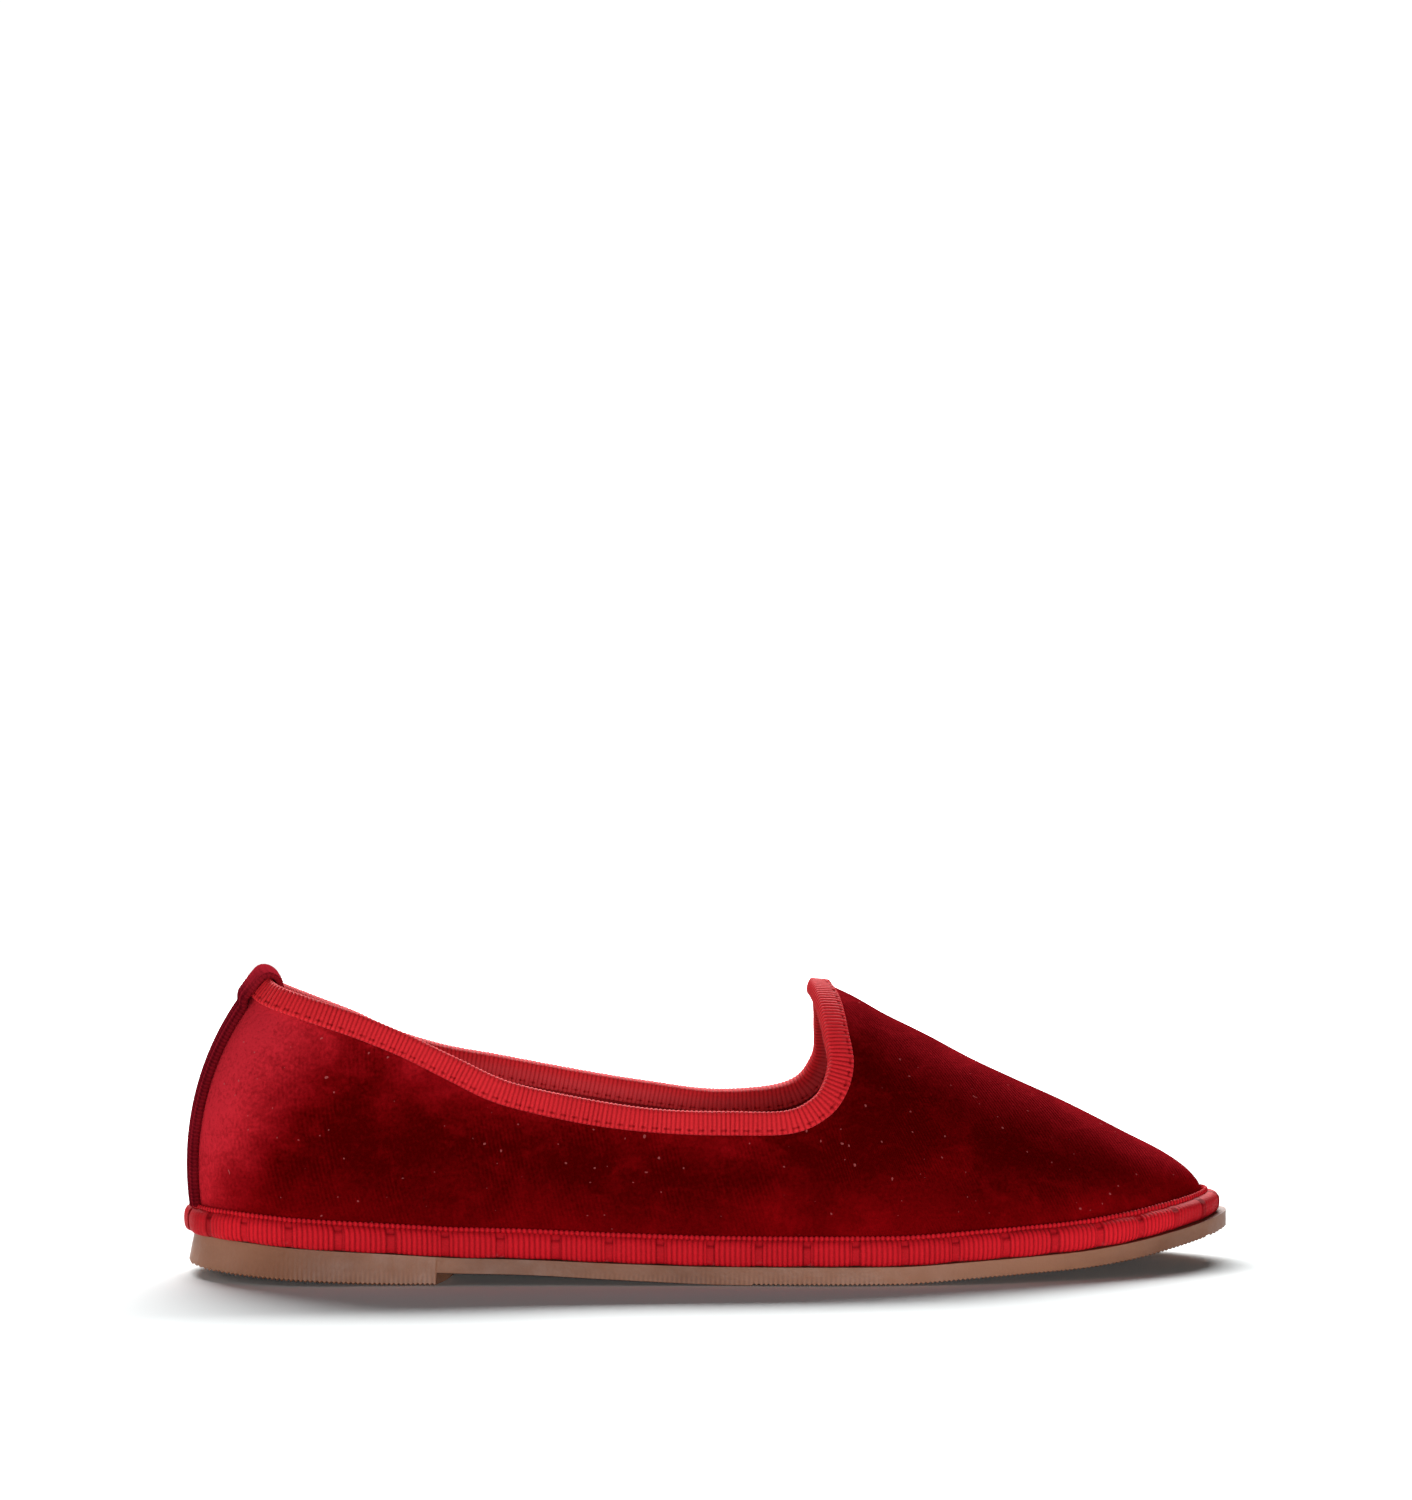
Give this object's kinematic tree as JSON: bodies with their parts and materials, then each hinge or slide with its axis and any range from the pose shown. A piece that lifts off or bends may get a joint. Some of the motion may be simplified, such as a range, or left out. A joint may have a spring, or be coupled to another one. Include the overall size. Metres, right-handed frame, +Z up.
{
  "type": "friulane slipper",
  "caption": "Flat slip-on shoe with a soft fabric upper, a bound collar, a corded rand and a low-heeled rubber sole.",
  "frame": {"origin": "on the floor, under the centre of the shoe's bounding box", "axes": "+X from heel to toe along the length, +Y to the inner side of this right shoe, +Z up"},
  "size_m": [0.2512, 0.084, 0.0726],
  "materials": {
    "rubber_sole": "matt tan-brown rubber",
    "sock_leather": "plain matt leather",
    "rand_grosgrain": "ribbed red grosgrain",
    "velvet": "red cotton velvet with a short crushed pile",
    "binding_grosgrain": "ribbed red grosgrain",
    "stay_velvet": "dark red velvet tape"
  },
  "bodies": {
    "root": {"outsole": "rubber_sole", "insole": "sock_leather", "rand": "rand_grosgrain", "upper": "velvet", "collar_binding": "binding_grosgrain", "heel_stay": "stay_velvet"}
  },
  "joints": []
}
